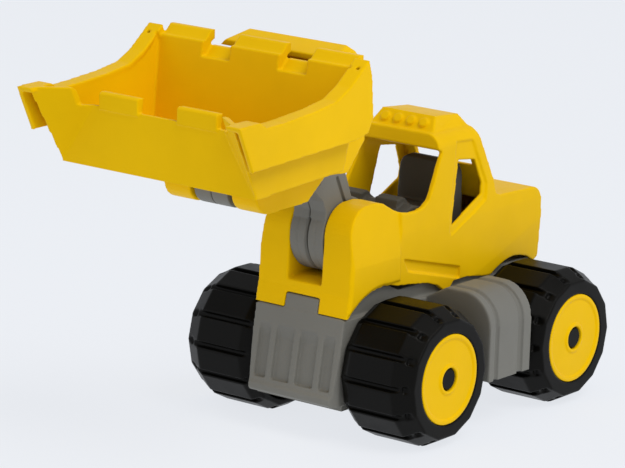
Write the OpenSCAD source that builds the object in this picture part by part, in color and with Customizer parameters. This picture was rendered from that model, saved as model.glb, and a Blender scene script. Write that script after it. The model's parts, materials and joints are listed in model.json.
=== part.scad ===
// Sandbox toy front loader: grey chassis, yellow body and bucket, four chunky black wheels.
// Front is -Y, the driver's left is +X, +Z is up, and the wheels stand on Z = 0.
// The bucket is drawn raised and curled back.

/* [Wheels] */
// Distance from the axle to the flat faces of the tread lugs
tyre_r = 30.5; // [29:0.1:30.7]
// Width of a tyre
tyre_w = 37.5; // [34:0.5:37.5]
// Number of tread lugs
lugs = 14; // [12:2:18]
// Depth of the grooves between the lugs
groove_depth = 1.8; // [1:0.1:2.2]
// Radius of the yellow hub disc
hub_r = 20; // [18:0.5:21]
// Distance between the two outer hub faces
track_w = 124.4; // [124:0.2:128]
// Distance between the axles
wheelbase = 96; // [95.5:0.5:98]
// Radius of the steel axles
axle_r = 2.5; // [2:0.25:3]

/* [Body] */
// Width of the yellow body
body_w = 50; // [48:0.5:50]
// Wall thickness of the yellow mouldings
wall = 2.4; // [2:0.1:2.6]
// Width of the slot that the arm swings in
slot_w = 18.4; // [18.4:0.1:20]
// Height of the cab roof at its edges
roof_z = 127; // [125:0.5:128]
// Height of the engine hood
hood_z = 92; // [90:0.5:93]

/* [Loader arm] */
// Width of the arm over both halves
arm_w = 17.6; // [16:0.2:17.6]
// Radius of the arm's barrel
barrel_r = 17; // [16:0.5:17.5]
// Radius of the pivot pins
pin_r = 3; // [2.5:0.1:3.2]

/* [Bucket] */
// Half width of the bucket at its floor, outside
bucket_floor_x = 51; // [50:0.5:52]
// Half width of the bucket over its side skirts
skirt_x = 59; // [58:0.5:60]
// Wall thickness of the bucket
bucket_wall = 2.4; // [2:0.1:2.8]
// Height of the teeth on the cutting edge
tooth_h = 6.5; // [5:0.5:8]

/* [Hidden] */
$fn = 64;

yellow = [0.95, 0.78, 0.02];
grey = [0.44, 0.43, 0.40];
black = [0.07, 0.07, 0.07];
steel = [0.7, 0.7, 0.72];

// Everything below is drawn with the front axle at Y = 0 and moved to the row frame by place().
front_axle_y = 9;
axle_z = tyre_r;
fit = 0.06;
half_track = track_w / 2;
half_body = body_w / 2;
inner_body = half_body - wall;
arm_pivot = [-7, 86.5];
bucket_pivot = [-82, 119];
eps = 0.01;

// ---------- helpers ----------

module place() { translate([0, front_axle_y, 0]) children(); }

// A (Y, Z) outline extruded along X.
module along_x(x0, x1) {
    translate([x0, 0, 0]) rotate([90, 0, 90]) linear_extrude(x1 - x0) children();
}

// An (X, Z) outline extruded along Y.
module along_y(y0, y1) {
    translate([0, y1, 0]) rotate([90, 0, 0]) linear_extrude(y1 - y0) children();
}

module both_sides() {
    children();
    mirror([1, 0, 0]) children();
}

// A cylinder along X at a (Y, Z) place.
module rod_x(yz, r, x0, x1) {
    translate([x0, yz[0], yz[1]]) rotate([0, 90, 0]) cylinder(r = r, h = x1 - x0);
}

module box(low, high) { translate(low) cube(high - low); }

// A solid between two outlines with the same number of points.
module loft(low, high) {
    n = len(low);
    sides = [for (i = [0 : n - 1]) each [[i, n + (i + 1) % n, (i + 1) % n], [i, n + i, n + (i + 1) % n]]];
    polyhedron(concat(low, high),
               concat([[for (i = [0 : n - 1]) i]], sides, [[for (i = [n - 1 : -1 : 0]) n + i]]),
               convexity = 6);
}

// Points on an arc in the (Y, Z) plane.
function arc(c, r, a0, a1, n = 8) =
    [for (i = [0 : n]) let (a = a0 + (a1 - a0) * i / n) c + r * [cos(a), sin(a)]];

// ---------- wheels ----------

shoulder_w = 8.8;
shoulder_r = 26.4;
web = 2.5;

// Cross-section of a tyre, radius against distance inwards from its outer face.
module tyre_section() {
    boss_r = 7;
    disc_seat = 3.2;
    corner = tyre_r / cos(180 / lugs);
    polygon([
        [axle_r + fit, disc_seat], [hub_r + 0.2, disc_seat], [hub_r + 0.2, 0], [shoulder_r, 0],
        [corner - 4, 1.4], [corner, shoulder_w], [corner, tyre_w - 5], [corner - 3, tyre_w],
        [shoulder_r - 1, tyre_w], [shoulder_r - 1, disc_seat + 6], [hub_r + 1.5, disc_seat + web],
        [boss_r, disc_seat + web], [boss_r, tyre_w - 0.6], [axle_r + fit, tyre_w - 0.6]
    ]);
}

// What is cut away round one lug: its flat crown and its slanting shoulders.
module lug_cut() {
    translate([0, 20, 0]) rotate([90, 0, 0]) linear_extrude(40) polygon([
        [tyre_r + 10, -2], [shoulder_r - 0.6, -2], [shoulder_r - 0.6, 0.1], [tyre_r, shoulder_w],
        [tyre_r, tyre_w - 5], [shoulder_r + 1, tyre_w + 0.1], [shoulder_r + 1, tyre_w + 2],
        [tyre_r + 10, tyre_w + 2]]);
}

module tyre() {
    groove_w = 2.6;
    notch_w = 3.2;
    color(black) rotate([0, -90, 0]) difference() {
        rotate_extrude() tyre_section();
        for (i = [0 : lugs - 1]) rotate(i * 360 / lugs) lug_cut();
        for (i = [0 : lugs - 1]) rotate((i + 0.5) * 360 / lugs) {
            translate([tyre_r - groove_depth, -groove_w / 2, 2]) cube([10, groove_w, tyre_w]);
            translate([shoulder_r + 0.4, -notch_w / 2, -1]) cube([10, notch_w, shoulder_w - 3]);
        }
    }
}

module hub_disc() {
    hole_r = 5.2;
    color(yellow) rotate([0, -90, 0]) difference() {
        rotate_extrude() polygon([
            [hole_r, 0], [hole_r + 1.3, 0], [hole_r + 1.8, 0.7], [hub_r - 2.4, 0.7],
            [hub_r - 1.9, 0], [hub_r, 0], [hub_r, 3], [hole_r, 3]
        ]);
    }
}

module axle_cap() {
    color(black) rotate([0, -90, 0]) rotate_extrude() polygon([
        [0, 0.6], [4.2, 0.6], [4.9, 1.2], [4.9, 2.9], [axle_r, 2.9], [axle_r, 4.2], [0, 4.2]
    ]);
}

module at_wheel(side, y) {
    place() translate([0, y, axle_z]) mirror([side < 0 ? 1 : 0, 0, 0])
        translate([half_track, 0, 0]) children();
}

module axle(y) {
    reach = half_track - 4.4;
    color(steel) place() rod_x([y, axle_z], axle_r, -reach, reach);
}

// ---------- chassis ----------

tank_x = 60;
tank_y = [32.4, 63.6];
tank_z = [22, 59.6];
tank_inner_x = 36;
tank_drop = 7.6;
front_arch_r = 34.4;
frame_x = 24.2;

// Side view of the chassis between the wheels.
chassis_profile = concat(
    [[-33.2, 17.4], [-33.2, 20], [-31.8, 21.4], [-26.5, 54.6], [-21.6, 54.6]],
    arc([0, 30.7], front_arch_r - 0.6, 128, 75, 8),
    [[15, 60.5], [60, 60.5], [100, 58], [115, 58], [115, 54], [123.6, 54], [125.5, 30], [121, 20],
     [100, 16], [-31, 16]]);
flutes = [[-20.6, -14.7], [-11.3, -1.7], [1.7, 11.3], [14.7, 20.6]];

module side_tank() {
    r = 14;
    outer_top = tank_z[1] - r;
    module outline(grow) {
        polygon(concat(
            [[frame_x - 2, tank_z[0]], [tank_x - 1.4 + grow, tank_z[0]]],
            arc([tank_x - 1.4 - r, outer_top], r + grow, 0, 90, 10),
            [[tank_inner_x, tank_z[1] + grow], [frame_x - 2, tank_z[1] - tank_drop + grow]]));
    }
    along_y(tank_y[0], tank_y[1]) outline(0);
    for (rib = [[0, 4], [6.8, 21.6], [25.6, 31.2]])
        along_y(tank_y[0] + rib[0], tank_y[0] + rib[1]) outline(1.4);
}

module tank_hollow() {
    r = 12;
    along_y(tank_y[0] + wall, tank_y[1] - wall)
        polygon(concat(
            [[frame_x, tank_z[0] - 1], [tank_x - 1.4 - wall, tank_z[0] - 1]],
            arc([tank_x - 1.4 - wall - r, tank_z[1] - wall - r], r, 0, 90, 8),
            [[tank_inner_x, tank_z[1] - wall], [frame_x, tank_z[1] - tank_drop - wall + 1]]));
}

module chassis() {
    color(grey) place() difference() {
        union() {
            along_x(-frame_x, frame_x) polygon(chassis_profile);
            // tongue that stands up between the pillars' feet
            along_x(-slot_w / 2 + 0.3, slot_w / 2 - 0.3)
                polygon([[-26.4, 54], [-24.8, 61], [-19.3, 61], [-19.3, 54]]);
            both_sides() side_tank();
        }
        // four shallow upright flutes in the front face, and its slanting corners
        for (f = flutes) along_x(f[0], f[1])
            polygon([[-36, 22.6], [-29.6, 22.6], [-26.8, 41], [-27.4, 46.4], [-36, 47.4]]);
        both_sides() translate([0, 0, 10]) linear_extrude(50)
            polygon([[22, -33.4], [24.6, -27.8], [30, -27.8], [30, -40], [22, -40]]);
        // hollow underneath, with walls and cross ribs left standing
        for (bay = [[-24.5, -6, 52], [6, 44, 57], [46.4, 90, 56], [102, 119, 52]])
            box([-frame_x + wall, bay[0], 14], [frame_x - wall, bay[1], bay[2]]);
        // groove that takes the lower edge of the body
        both_sides() box([inner_body - 0.2, -30, 54.4], [half_body + 0.2, 130, 70]);
        both_sides() tank_hollow();
        for (y = [0, wheelbase]) rod_x([y, axle_z], axle_r + fit, -30, 30);
        // screw holes up into the body
        for (p = screw_places) translate([p[0], p[1], 50]) cylinder(r = 1.25, h = 20);
        for (p = base_screw_places) translate([p[0], p[1], 10]) cylinder(r = 1.0, h = 15);
    }
}

screw_places = [[-14.4, -17], [14.4, -17], [-14, 108], [14, 108]];
base_screw_places = [[0, 0], [-16, 45.2], [16, 45.2], [0, 96]];

module base_plate() {
    color(grey) place() difference() {
        box([-frame_x + 1, -25, 13.6], [frame_x - 1, 118, 15.9]);
        for (p = base_screw_places) translate([p[0], p[1], 10]) {
            cylinder(r = 1.2, h = 10);
            cylinder(r = 2.7, h = 5);
        }
    }
}

// ---------- body ----------

// Side view of the body, front to rear over the top and back along the bottom.
pillar_c = [-9.4, 88.4];
rear_arch = [100, 30.7];
rear_arch_r = 30.4;
body_profile = concat(
    [[-26, 55], [-25.4, 58.6], [-24.3, 64], [pillar_c[0] - 13.8, 86]],
    arc(pillar_c, 13.8, 180, 100, 8),
    [[-4, 102.3], [1.7, 101.2], [8.4, 97.4], [13, 95.6], [18, 94.8], [24, 94.8], [28.4, 95.6],
     [32.5, 98], [35.6, 103], [43, 118], [40.5, 119.2], [40.2, 125.4], [42, roof_z]],
    [[66, roof_z + 0.6], [70, roof_z - 2], [82, 99.5], [84, hood_z + 1], [87, hood_z], [112, hood_z - 0.6]],
    arc([112.5, hood_z - 7.4], 6.8, 90, 0, 6),
    [[120.5, 57.5], [117.5, 55.8]],
    arc(rear_arch, rear_arch_r, 55, 126, 10),
    [[80, 55.5], [62, 58.4], [52, 58], [48.6, 54.6], [45, 55.2], [40.5, 58.2], [32.9, 60.6], [20, 62.4]],
    arc([0, 30.7], front_arch_r, 72, 136, 8));

// Front view of the body, shrunk by t: straight sides, a cab that leans inwards, and a rounded roof.
belt_z = 86;
eaves = [22.8, 118.4];
lean = atan((half_body - eaves[0]) / (eaves[1] - belt_z));
function body_front(t) = concat(
    [[-half_body + t, 40], [half_body - t, 40], [half_body - t, belt_z]],
    arc([eaves[0] - 7.6, eaves[1]], 7.6 - t, 0, 80, 8),
    arc([7.6 - eaves[0], eaves[1]], 7.6 - t, 100, 180, 8),
    [[-half_body + t, belt_z]]);

window_profile = [[56.3, 112.2], [68.8, 110.6], [73.7, 99.2], [73.1, 94.3], [50.2, 83.3]];
window_field = [[54.2, 121], [66.5, 120], [76.5, 99], [75.6, 91.5], [49, 79], [47.5, 82]];

module roof_dome() {
    base_z = eaves[1] + 6;
    loft([[-18, 42, base_z], [18, 42, base_z], [18, 70, base_z], [-18, 70, base_z]],
         [[-14.5, 48, roof_z + 5], [14.5, 48, roof_z + 5], [14, 66, roof_z + 3.6], [-14, 66, roof_z + 3.6]]);
    for (i = [-1.5 : 1 : 1.5])
        translate([i * 7, 45.8, roof_z + 1.4]) rotate([52, 0, 0]) cylinder(r = 2.3, h = 1.8);
}

// The cut that leans the rear flank inwards below its crease.
module flank_cut() {
    low_x = half_body - 1.9;
    far_x = half_body + 5;
    loft([[low_x, 66, 54], [far_x, 66, 54], [far_x, 122, 54], [low_x, 122, 54]],
         [[half_body, 66, 57], [far_x, 66, 57], [far_x, 122, 77], [half_body, 122, 77]]);
}

module body_hollow() {
    roof_in = roof_z - wall - 0.6;
    intersection() {
        union() {
            // cab
            along_x(-inner_body, inner_body) polygon([
                [15, 50], [15, 110], [38, 110], [45.5, 118.5], [44.5, 119], [44.5, roof_in],
                [65, roof_in], [68, roof_in - 2], [79.8, 98.5], [81.8, hood_z - wall], [110, hood_z - wall],
                [115.5, hood_z - 6], [117.6, 50]]);
            // pillars
            both_sides() along_x(slot_w / 2 + wall, inner_body) polygon(concat(
                [[-22.4, 50], [-22, 64], [pillar_c[0] - 11.4, 86]],
                arc(pillar_c, 11.4, 180, 100, 6),
                [[-4, 99.8], [4, 97.6], [15.1, 91], [15.1, 50]]));
        }
        along_y(-40, 130) polygon(body_front(wall));
    }
}

module body_shell() {
    color(yellow) place() difference() {
        union() {
            difference() {
                intersection() {
                    along_x(-half_body, half_body) polygon(body_profile);
                    along_y(-40, 130) polygon(body_front(0));
                }
                body_hollow();
                // slot for the arm, open in front and on top, over a web that ties the pillars
                along_x(-slot_w / 2, slot_w / 2)
                    polygon([[-40, 66], [-26, 66.4], [-16, 68.4], [13, 68.4], [13, 120], [-40, 120]]);
                box([-slot_w / 2, -40, 50], [slot_w / 2, -18.9, 61.4]);
            }
            roof_dome();
            // raised panel on the side of each pillar
            both_sides() along_x(half_body - eps, half_body + 0.8) polygon(concat(
                [[-24.8, 57], [-23.2, 64], [pillar_c[0] - 12.7, 86]],
                arc(pillar_c, 12.7, 180, 110, 6),
                [[-6, 99.5], [6, 96], [10.5, 92.5], [11.5, 66], [2, 65.9]],
                arc([0, 30.7], front_arch_r + 1.2, 90, 132, 6)));
            // bosses for the arm pin and for the screws
            both_sides() rod_x(arm_pivot, pin_r + 2.6, slot_w / 2, inner_body + 0.5);
            for (p = screw_places) translate([p[0], p[1], p[1] < 0 ? 61.8 : 58.2])
                cylinder(r = 3.2, h = p[1] < 0 ? 14 : 32.5);
        }
        both_sides() flank_cut();
        // outer top edges of the pillars
        both_sides() along_y(-40, 12) polygon([[half_body + 0.9, 76], [21.6, 105], [30, 110], [30, 76]]);
        // windscreen and rear window
        box([-21, 20, 95], [21, 43.6, 118.2]);
        along_x(-21, 21) polygon([[14, 94.9], [30, 94.9], [46.5, 118.2], [30, 118.2], [14, 105]]);
        along_x(-15.5, 15.5) polygon([[62, 105.8], [62, 117], [80, 117], [90, 105.8]]);
        // side windows in a shallow field
        both_sides() translate([half_body - 0.9, 0, belt_z]) rotate([0, -lean, 0])
            translate([0, 0, -belt_z]) along_x(0, 5) polygon(window_field);
        along_x(-30, 30) polygon(window_profile);
        // step in the flank
        both_sides() along_x(half_body - 1.3, half_body + 2)
            polygon([[14, 74.8], [57, 64], [57, 58.6], [18, 68.4]]);
        both_sides() rod_x(arm_pivot, pin_r + fit, 0, inner_body - 0.6);
        for (p = screw_places) translate([p[0], p[1], 50]) cylinder(r = 1.2, h = 20);
    }
}

// Grey seat, dashboard and floor, dropped into the cab from below.
module cab_insert() {
    w = inner_body - 1.1;
    color(grey) place() difference() {
        union() {
            along_x(-w, w) polygon([[15.4, 78], [15.4, 93.2], [24, 96.6], [31, 95], [34.5, 88], [36, 80.4],
                                    [77, 80.4], [77, 78]]);
            // seat cushion and rounded back
            along_x(-13, 13) polygon([[50, 80], [48.5, 88], [50, 90], [64, 88.4], [66, 88.4], [66, 80]]);
            intersection() {
                along_x(-15.5, 15.5) polygon([[62, 80], [64, 107.6], [66, 109.4], [69, 108.6], [70, 80]]);
                along_y(55, 75) polygon(concat([[-15.5, 70], [15.5, 70]],
                    arc([9, 102.5], 6.5, 0, 90, 6), arc([-9, 102.5], 6.5, 90, 180, 6)));
            }
            // two walls that stand on the chassis
            for (y = [20, 70]) box([-18, y, 60.6], [18, y + wall, 79]);
            // console humps on the dashboard
            for (x = [-10, 10]) along_x(x - 6, x + 6)
                polygon([[18, 90], [20, 98.6], [25, 99.4], [29, 96], [30, 90]]);
        }
        // underside left hollow
        box([-w + wall, 22.4, 77], [w - wall, 33, 90]);
        along_x(-10.8, 10.8) polygon([[51.5, 77], [51, 87], [63, 85.8], [63, 77]]);
    }
}

// ---------- loader arm ----------

boom_end_r = 8;
seam = 0.4;
neck = [[-7, 86.5], [-21.9, 95], [-21.6, 99], [-24, 104], [-29, 108.4], [-48, 110.4], bucket_pivot + [1, -8],
        bucket_pivot + [0, 7.4], [-44, 122.4], [-16, 120.6], [-10.6, 118], [-8, 113], [-3.7, 103], [4, 99.6]];

module arm_blank(x0, x1) {
    rod_x(arm_pivot, barrel_r, x0, x1);
    rod_x(bucket_pivot, boom_end_r, x0, x1);
    along_x(x0, x1) polygon(neck);
}

arm_screw_places = [[-16, 108], [-50, 116.4]];

module arm_half(screw_side) {
    half = arm_w / 2;
    far = half + 1;
    color(grey) place() difference() {
        arm_blank(seam / 2, half);
        // ring grooves round the barrel
        for (x = [0.2, 4.2]) translate([x, arm_pivot[0], arm_pivot[1]]) rotate([0, 90, 0]) difference() {
            cylinder(r = barrel_r + 2, h = x < 1 ? 0.7 : 0.9);
            translate([0, 0, -1]) cylinder(r = barrel_r - 1, h = 4);
            translate([-30, -30, -1]) cube([21, 60, 4]);
            translate([-30, -1, -1]) cube([60, 30, 4]);
        }
        // groove that leaves a flange along the rear edge
        along_x(half - 1.4, half + 1)
            polygon([[-4.4, 96], [-6, 96], [-10.6, 103.4], [-15.4, 113.2], [-13.8, 113.8], [-9, 104]]);
        // long pocket in the side of the boom
        along_x(half - 1.2, half + 1) polygon([[-26, 111.4], [-68, 114.4], [-68, 121.6], [-26, 118.4]]);
        rod_x(arm_pivot, pin_r + fit, -1, half + 1);
        rod_x(bucket_pivot, pin_r + fit, -1, half + 1);
        for (p = arm_screw_places) rod_x(p, 1.25, -1, screw_side ? far : half - 2);
        if (screw_side) for (p = arm_screw_places) rod_x(p, 2.7, half - 2.2, far);
    }
}

module arm_pin() {
    color(steel) place() rod_x(arm_pivot, pin_r, -inner_body + 0.7, inner_body - 0.7);
}

// ---------- bucket ----------

// Places on the curled bucket, as (Y, Z).
front_y = -124.5;
floor_z = 128;
cut_z = 190;
heel_rear = [-67, 131];
front_top_z = 154;
notch_z = 171.5;
block_z = 178;
rear_y = -60;

// Height of the side rim, front to rear.
rim = [[-145.4, 161.4], [-132, 161.8], [-127.5, 159.2], [-116, 159.6], [-96, 161.4], [-82.6, 163.6],
       [-74, 168], [-67.6, 173], [-61.6, block_z]];

// Side view of the tub, grown inwards by t.
module tub_side(t) {
    polygon([[front_y + t, floor_z + t], [heel_rear[0] - t, heel_rear[1] + t],
             [rear_y + 2.4 - t, cut_z + t], [front_y - 1.2 + t, cut_z + t]]);
}

// Front view of the tub: the side walls lean outwards.
module tub_front(t) {
    x = bucket_floor_x + 0.6 - t;
    polygon([[-x, floor_z + t], [x, floor_z + t], [x + 4.4, cut_z + t], [-x - 4.4, cut_z + t]]);
}

// The front corners flare forwards: everything above a slanting plane is inside them.
module flare(t) {
    both_sides() translate([0, 1.37 * t, 0]) polyhedron(
        [[60, -118, 104.2], [0.6, -118, cut_z], [60, -163.7, cut_z], [60, -100, cut_z]],
        [[0, 1, 2], [0, 2, 3], [1, 3, 2], [0, 3, 1]]);
}

module tub(t) {
    intersection() {
        union() {
            along_x(-70, 70) tub_side(t);
            flare(t);
        }
        along_y(-170, -50) tub_front(t);
    }
}

module side_skirts() {
    both_sides() difference() {
        along_x(bucket_floor_x + 0.2, skirt_x) polygon(concat(
            rim, [[-59.2, 171], [-57.4, 153.5], [-60.5, 147.2], [-69, 145.2], [-136, 142]]));
        // channel under the rim, open in front and below
        along_x(bucket_floor_x - 1, skirt_x - 2) polygon(concat(
            [for (p = rim) p + [p[0] < -140 ? -2 : p[0] > -62 ? -3.5 : 0, -2.2]],
            [[-61.6, 168], [-60, 153], [-60, 120], [-160, 120]]));
    }
}

// The castellated lip along the top of the rear wall.
module rear_lip(x0, x1, z) {
    along_x(x0, x1) polygon([
        [rear_y - 3, z - 6], [rear_y + 2.6, z], [rear_y + 5, z], [rear_y + 5.2, z - 4],
        [rear_y + 3.2, z - 5], [rear_y + 1, z - 9], [rear_y - 2, z - 9]]);
}

module bucket() {
    color(yellow) place() {
        difference() {
            union() {
                difference() {
                    tub(0);
                    tub(bucket_wall);
                    // trim the side walls to the rim and the front wall to its cutting edge
                    along_x(-70, 70) polygon(concat([[-170, 161.6]], rim, [[-61.6, 195], [-170, 195]]));
                    box([-100, -64, block_z - 4], [100, -50, 200]);
                    box([-10.4, -135, front_top_z], [10.4, -119, 170]);
                    both_sides() box([31.4, -135, front_top_z], [40, -119, 170]);
                    both_sides() box([13, -72, notch_z - 4], [28, -50, 200]);
                }
                side_skirts();
                for (x = [-31.4, 10.4]) along_x(x, x + 21)
                    polygon([[-125.5, front_top_z - 1], [-125.6, front_top_z + tooth_h - 1],
                             [-124.4, front_top_z + tooth_h], [-121.4, front_top_z + tooth_h - 0.4],
                             [-122.4, front_top_z - 1]]);
                for (s = [[-51, -28], [-13, 13], [28, 51]]) rear_lip(s[0], s[1], block_z);
                for (s = [[-28.2, -12.8], [12.8, 28.2]]) rear_lip(s[0], s[1], notch_z);
            }
        }
    }
}

// Yellow bracket under and behind the bucket: two ears, two cheeks and a back plate.
plate_y = -31;
module bucket_bracket() {
    slot = arm_w / 2 + 2.4;
    ear = 25;
    cheek = 35;
    ear_side = concat(arc(bucket_pivot, 8.2, 270, 180, 6),
        [[-90.2, 128.6], [-67, 129.8], [-60, 125], [-44, 123.5], [-44, 121], [-56, 111.6]]);
    color(yellow) place() difference() {
        union() {
            both_sides() {
                along_x(slot, slot + wall) polygon(ear_side);
                along_x(ear - wall, ear) polygon(ear_side);
                along_x(slot, ear) difference() {
                    polygon(ear_side);
                    polygon(concat(arc(bucket_pivot, 5.8, 270, 180, 6),
                                   [[-87.8, 140], [-30, 140], [-30, 112], [-60, 113.2]]));
                }
                along_x(cheek - wall, cheek) polygon([
                    [-66.4, 131.5], [-59.4, 166], [-40, 165.5], [plate_y, 167], [plate_y, 136],
                    [-42, 123.6], [-60, 125]]);
            }
            // back plate with sloping top corners and a lip
            intersection() {
                along_x(-cheek, cheek) polygon([
                    [plate_y, 136], [plate_y, 173.6], [plate_y - 3, 176], [plate_y - 15, 172.4],
                    [plate_y - 15, 169.6],
                    [plate_y - wall, 171], [plate_y - wall, 137], [-43.4, 125.2], [-42, 123.6]]);
                along_y(-60, -20)
                    polygon([[-cheek, 110], [cheek, 110], [cheek, 167], [26, 176.2], [-26, 176.2], [-cheek, 167]]);
            }
            // floor that ties the ears to the cheeks
            both_sides() along_x(slot, cheek)
                polygon([[-67, 129.8], [-60, 125], [-42, 123.6], [-43.4, 125.8], [-59.4, 127.4], [-65.6, 131.6]]);
        }
        rod_x(bucket_pivot, pin_r + fit, -40, ear - wall);
    }
}

module bucket_pin() {
    color(steel) place() rod_x(bucket_pivot, pin_r, -24, 22);
}

// ---------- screws ----------

module screw_up(length, r) {
    cylinder(r = 2.4, h = 1.3);
    cylinder(r = r, h = length);
}

module shell_screws() {
    color(steel) place() for (p = screw_places)
        translate([p[0], p[1], 50.7]) screw_up(17.6, 1.15);
}

module base_screws() {
    color(steel) place() for (p = base_screw_places) translate([p[0], p[1], 13.7]) screw_up(9.6, 0.95);
}

module arm_screws() {
    color(steel) place() for (p = arm_screw_places) {
        rod_x(p, 1.15, -arm_w / 2 + 0.8, arm_w / 2 - 2.4);
        rod_x(p, 2.4, -arm_w / 2 + 0.8, -arm_w / 2 + 2.2);
    }
}

// ---------- nodes ----------

chassis();
base_plate();
body_shell();
cab_insert();
axle(0);  // axle_front
axle(wheelbase);  // axle_rear
at_wheel(1, 0) tyre();  // tyre_fl
at_wheel(-1, 0) tyre();  // tyre_fr
at_wheel(1, wheelbase) tyre();  // tyre_rl
at_wheel(-1, wheelbase) tyre();  // tyre_rr
at_wheel(1, 0) hub_disc();  // hub_disc_fl
at_wheel(-1, 0) hub_disc();  // hub_disc_fr
at_wheel(1, wheelbase) hub_disc();  // hub_disc_rl
at_wheel(-1, wheelbase) hub_disc();  // hub_disc_rr
at_wheel(1, 0) axle_cap();  // axle_cap_fl
at_wheel(-1, 0) axle_cap();  // axle_cap_fr
at_wheel(1, wheelbase) axle_cap();  // axle_cap_rl
at_wheel(-1, wheelbase) axle_cap();  // axle_cap_rr
arm_half(false);  // arm_half_left
mirror([1, 0, 0]) arm_half(true);  // arm_half_right
arm_pin();
bucket();
bucket_bracket();
bucket_pin();
shell_screws();
base_screws();
arm_screws();
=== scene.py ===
# Looks of the toy front loader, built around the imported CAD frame.
# Metres, front is -Y, the driver's left is +X.
import json
import math

import bpy
from mathutils import Matrix, Vector

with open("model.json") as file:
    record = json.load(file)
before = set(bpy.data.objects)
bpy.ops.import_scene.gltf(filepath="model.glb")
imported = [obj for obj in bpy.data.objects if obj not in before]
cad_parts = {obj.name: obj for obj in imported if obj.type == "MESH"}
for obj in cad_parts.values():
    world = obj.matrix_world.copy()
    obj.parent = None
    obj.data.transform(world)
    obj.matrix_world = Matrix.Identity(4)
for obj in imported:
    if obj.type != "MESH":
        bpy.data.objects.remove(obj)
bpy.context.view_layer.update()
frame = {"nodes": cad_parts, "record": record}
nodes = frame["nodes"]
MM = 0.001

# Linear colours: the plastics right through, and where their edges are worn pale; the cab insert's dark grey
# is the grey plastic darkened as painted shade
YELLOW = (0.84, 0.505, 0.0015)
WORN_YELLOW = (0.95, 0.68, 0.08)
YELLOW_SHEEN = (1.0, 0.74, 0.06, 1.0)
GREY = (0.178, 0.174, 0.154)
WORN_GREY = (0.24, 0.23, 0.21)
SHADED_GREY = (0.062, 0.058, 0.048)
WORN_SHADED_GREY = (0.12, 0.115, 0.10)
BLACK = (0.0028, 0.0026, 0.002)
WORN_BLACK = (0.02, 0.02, 0.018)
STEEL = (0.60, 0.60, 0.61)

# The floor glows in the colour of the photo's plain backdrop, over a dark base that only takes a faint shadow
FLOOR_LOW = (0.118, 0.120, 0.124)
FLOOR_HIGH = (0.122, 0.124, 0.128)
FLOOR_GLOW = (0.735, 0.758, 0.799, 1.0)
SKY = (0.95, 0.97, 1.0, 1.0)
SKY_STRENGTH = 0.53

# Camera, fitted to the photo: its place, the axis that points back from the toy, and roughly up
CAMERA_PLACE = (0.9514, -1.2522, 0.4622)
CAMERA_BACK = (0.5914, -0.7720, 0.2329)
CAMERA_UP = (-0.1670, 0.1653, 0.9720)
LENS_MM = 214.5
SENSOR_MM = 36.0

# The lamps aim at the middle of the toy
AIM = (0.0, 0.0, 0.08)

# Sockets of a colour mix node, which share their names with those of its other types
MIX_FACTOR, MIX_FIRST, MIX_SECOND, MIX_RESULT = 0, 6, 7, 2


# ---------- camera ----------

def add_camera():
    data = bpy.data.cameras.new("camera")
    data.lens = LENS_MM
    data.sensor_width = SENSOR_MM
    data.clip_start = 0.1
    data.clip_end = 20.0
    camera = bpy.data.objects.new("camera", data)
    bpy.context.scene.collection.objects.link(camera)
    back = Vector(CAMERA_BACK).normalized()
    right = Vector(CAMERA_UP).cross(back).normalized()
    up = back.cross(right)
    turn = Matrix((right, up, back)).transposed()
    camera.matrix_world = Matrix.Translation(CAMERA_PLACE) @ turn.to_4x4()
    bpy.context.scene.camera = camera


# ---------- materials ----------

class Nodes:
    """A short way to add and join shader nodes."""

    def __init__(self, name):
        self.material = bpy.data.materials.new(name)
        self.material.use_nodes = True
        self.tree = self.material.node_tree
        self.shader = self.tree.nodes["Principled BSDF"]

    def add(self, kind, **inputs):
        made = self.tree.nodes.new(kind)
        for key, value in inputs.items():
            made.inputs[key.replace("_", " ")].default_value = value
        return made

    def join(self, source, out, target, into):
        self.tree.links.new(source.outputs[out], target.inputs[into])

    def noise(self, scale, detail=3.0, rough=0.6, stretch=None):
        """Noise on the piece's own coordinates, which stretch may scale unevenly."""
        place = self.add("ShaderNodeTexCoord")
        made = self.add("ShaderNodeTexNoise", Scale=scale, Detail=detail, Roughness=rough)
        if stretch:
            mapping = self.add("ShaderNodeMapping", Scale=stretch)
            self.join(place, "Object", mapping, "Vector")
            self.join(mapping, "Vector", made, "Vector")
        else:
            self.join(place, "Object", made, "Vector")
        return made

    def spread(self, source, out, low, high, from_low=0.3, from_high=0.7):
        """Maps the source's range from_low to from_high onto low to high."""
        made = self.add("ShaderNodeMapRange")
        made.inputs["From Min"].default_value = from_low
        made.inputs["From Max"].default_value = from_high
        made.inputs["To Min"].default_value = low
        made.inputs["To Max"].default_value = high
        self.join(source, out, made, "Value")
        return made

    def mix(self, factor, second):
        """A colour mix towards the second colour, with its first one still open."""
        made = self.add("ShaderNodeMix")
        made.data_type = "RGBA"
        made.inputs[MIX_SECOND].default_value = (*second, 1.0)
        self.join(factor, 0, made, MIX_FACTOR)
        return made

    def blend(self, factor, first, second):
        made = self.mix(factor, second)
        made.inputs[MIX_FIRST].default_value = (*first, 1.0)
        return made

    def relief(self, source, out, strength, depth):
        """Gives the shader a bump of this depth in metres."""
        made = self.add("ShaderNodeBump", Strength=strength, Distance=depth)
        self.join(source, out, made, "Height")
        self.join(made, 0, self.shader, "Normal")


def scaled(colour, k):
    return tuple(c * k for c in colour)


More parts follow.
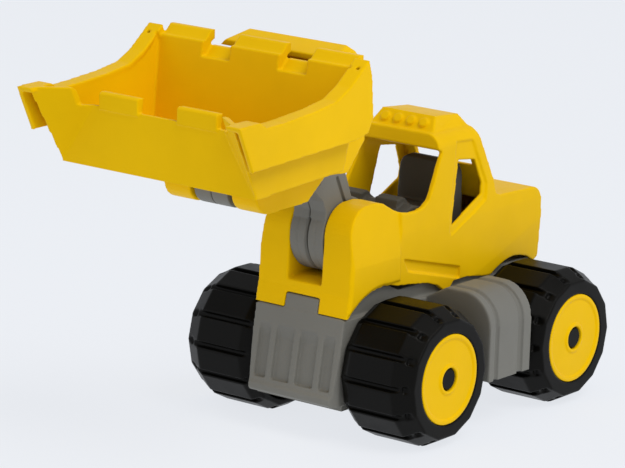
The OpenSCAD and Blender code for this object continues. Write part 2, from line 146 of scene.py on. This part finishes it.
def moulded_plastic(name, colour, pale, rough, shine, grain, bump):
    """Coloured-through plastic: cloudy colour, fine moulded grain, and edges worn pale in patches."""
    m = Nodes(name)
    cloud = m.noise(14.0, 4.0)
    shade = m.spread(cloud, "Fac", 0.0, 1.0)
    body = m.blend(shade, scaled(colour, 0.93), scaled(colour, 1.05))
    edge = m.add("ShaderNodeNewGeometry")
    worn = m.spread(edge, "Pointiness", 0.0, 0.35, 0.53, 0.62)
    scuffs = m.noise(220.0, 5.0, 0.7, (1.0, 0.25, 1.0))
    mask = m.spread(scuffs, "Fac", 0.0, 1.0, 0.45, 0.75)
    both = m.add("ShaderNodeMath")
    both.operation = "MULTIPLY"
    m.join(worn, 0, both, 0)
    m.join(mask, 0, both, 1)
    top = m.mix(both, pale)
    m.join(body, MIX_RESULT, top, MIX_FIRST)
    m.join(top, MIX_RESULT, m.shader, "Base Color")
    smear = m.noise(60.0, 3.0)
    gloss = m.spread(smear, "Fac", rough - 0.06, rough + 0.08)
    m.join(gloss, 0, m.shader, "Roughness")
    fine = m.noise(grain, 2.0)
    wave = m.noise(90.0, 2.0)
    total = m.add("ShaderNodeMath")
    total.operation = "MULTIPLY_ADD"
    total.inputs[1].default_value = 2.0
    m.join(wave, "Fac", total, 0)
    m.join(fine, "Fac", total, 2)
    m.relief(total, 0, bump, 0.1 * MM)
    m.shader.inputs["Specular IOR Level"].default_value = shine
    return m


def yellow_plastic():
    m = moulded_plastic("yellow_plastic", YELLOW, WORN_YELLOW, rough=0.42, shine=0.1, grain=2600.0, bump=0.25)
    m.shader.inputs["Specular Tint"].default_value = YELLOW_SHEEN
    return m.material


def grey_plastic():
    m = moulded_plastic("grey_plastic", GREY, WORN_GREY, rough=0.5, shine=0.2, grain=2200.0, bump=0.35)
    return m.material


# The cab insert's grey plastic, darkened so that it paints in the shade inside the cab
def dark_plastic():
    m = moulded_plastic("dark_plastic", SHADED_GREY, WORN_SHADED_GREY, rough=0.5, shine=0.2, grain=2200.0, bump=0.35)
    return m.material


def black_plastic():
    m = moulded_plastic("black_plastic", BLACK, WORN_BLACK, rough=0.34, shine=0.09, grain=2400.0, bump=0.3)
    return m.material


def steel():
    """Drawn steel, with fine lines."""
    m = Nodes("steel")
    m.shader.inputs["Metallic"].default_value = 1.0
    lines = m.noise(400.0, 3.0, 0.6, (0.1, 1.0, 1.0))
    shade = m.spread(lines, "Fac", 0.0, 1.0)
    body = m.blend(shade, scaled(STEEL, 0.8), STEEL)
    m.join(body, MIX_RESULT, m.shader, "Base Color")
    gloss = m.spread(lines, "Fac", 0.22, 0.4)
    m.join(gloss, 0, m.shader, "Roughness")
    m.relief(lines, "Fac", 0.2, 0.05 * MM)
    return m.material


def matt_floor():
    m = Nodes("floor")
    cloud = m.noise(3.0, 3.0)
    shade = m.spread(cloud, "Fac", 0.0, 1.0)
    body = m.blend(shade, FLOOR_LOW, FLOOR_HIGH)
    m.join(body, MIX_RESULT, m.shader, "Base Color")
    m.shader.inputs["Roughness"].default_value = 0.9
    m.shader.inputs["Specular IOR Level"].default_value = 0.0
    m.shader.inputs["Emission Color"].default_value = FLOOR_GLOW
    m.shader.inputs["Emission Strength"].default_value = 1.0
    return m.material


MATERIALS = {
    "yellow_plastic": yellow_plastic(),
    "grey_plastic": grey_plastic(),
    "dark_plastic": dark_plastic(),
    "black_plastic": black_plastic(),
    "steel": steel(),
}
SLOTS = {part["node"]: part["material_slot"] for part in frame["record"]["subparts"]}


# ---------- pieces ----------

# Size of the voxels in millimetres and number of smoothing passes that round a node's moulded edges
SOFT_EDGES = {
    "body_shell": (0.5, 3),
    "bucket": (0.5, 3),
    "bucket_bracket": (0.5, 3),
    "chassis": (0.55, 3),
    "cab_insert": (0.5, 4),
    "arm_half_left": (0.4, 3),
    "arm_half_right": (0.4, 3),
}
for wheel in ("fl", "fr", "rl", "rr"):
    SOFT_EDGES["tyre_" + wheel] = (0.5, 3)
    SOFT_EDGES["hub_disc_" + wheel] = (0.35, 2)


def dress(name, node):
    """Gives a CAD node its material and, where it is moulded, rounded edges."""
    node.data.materials.clear()
    node.data.materials.append(MATERIALS[SLOTS[name]])
    for face in node.data.polygons:
        face.material_index = 0
    if name in SOFT_EDGES:
        voxel, passes = SOFT_EDGES[name]
        remesh = node.modifiers.new("remesh", "REMESH")
        remesh.mode = "VOXEL"
        remesh.voxel_size = voxel * MM
        remesh.use_smooth_shade = True
        smooth = node.modifiers.new("smooth", "SMOOTH")
        smooth.factor = 0.5
        smooth.iterations = passes


# ---------- stage ----------

def add_stage():
    """A pale round floor that curves up into a low wall far from the toy on every side."""
    # Radius and height, from the edge of the flat middle outwards
    profile = [(4.2, 0.0), (5.2, 0.12), (5.8, 0.5), (6.1, 1.1), (6.2, 2.0)]
    steps = 96
    verts = [(0.0, 0.0, 0.0)]
    for radius, height in profile:
        for i in range(steps):
            turn = 2 * math.pi * i / steps
            verts.append((radius * math.cos(turn), radius * math.sin(turn), height))
    faces = [(0, 1 + i, 1 + (i + 1) % steps) for i in range(steps)]
    for ring in range(len(profile) - 1):
        low, high = 1 + ring * steps, 1 + (ring + 1) * steps
        for i in range(steps):
            after = (i + 1) % steps
            faces.append((low + i, high + i, high + after, low + after))
    mesh = bpy.data.meshes.new("floor")
    mesh.from_pydata(verts, [], faces)
    mesh.materials.append(matt_floor())
    floor = bpy.data.objects.new("floor", mesh)
    bpy.context.scene.collection.objects.link(floor)


def add_lamp(name, place, size, power, colour=(1.0, 1.0, 1.0)):
    data = bpy.data.lights.new(name, "AREA")
    data.shape = "SQUARE"
    data.size = size
    data.energy = power
    data.color = colour
    lamp = bpy.data.objects.new(name, data)
    lamp.location = place
    aim = Vector(AIM) - Vector(place)
    lamp.rotation_euler = aim.to_track_quat("-Z", "Y").to_euler()
    bpy.context.scene.collection.objects.link(lamp)


def add_lights():
    world = bpy.data.worlds.new("world")
    world.use_nodes = True
    sky = world.node_tree.nodes["Background"]
    sky.inputs["Color"].default_value = SKY
    sky.inputs["Strength"].default_value = SKY_STRENGTH
    bpy.context.scene.world = world
    add_lamp("key", place=(1.05, -0.15, 1.58), size=1.0, power=18.0, colour=(1.0, 0.98, 0.95))
    add_lamp("fill", place=(-1.2, -1.6, 0.9), size=1.2, power=2.0)
    bpy.context.scene.view_settings.view_transform = "Standard"


add_camera()
for name, node in nodes.items():
    dress(name, node)
add_stage()
add_lights()
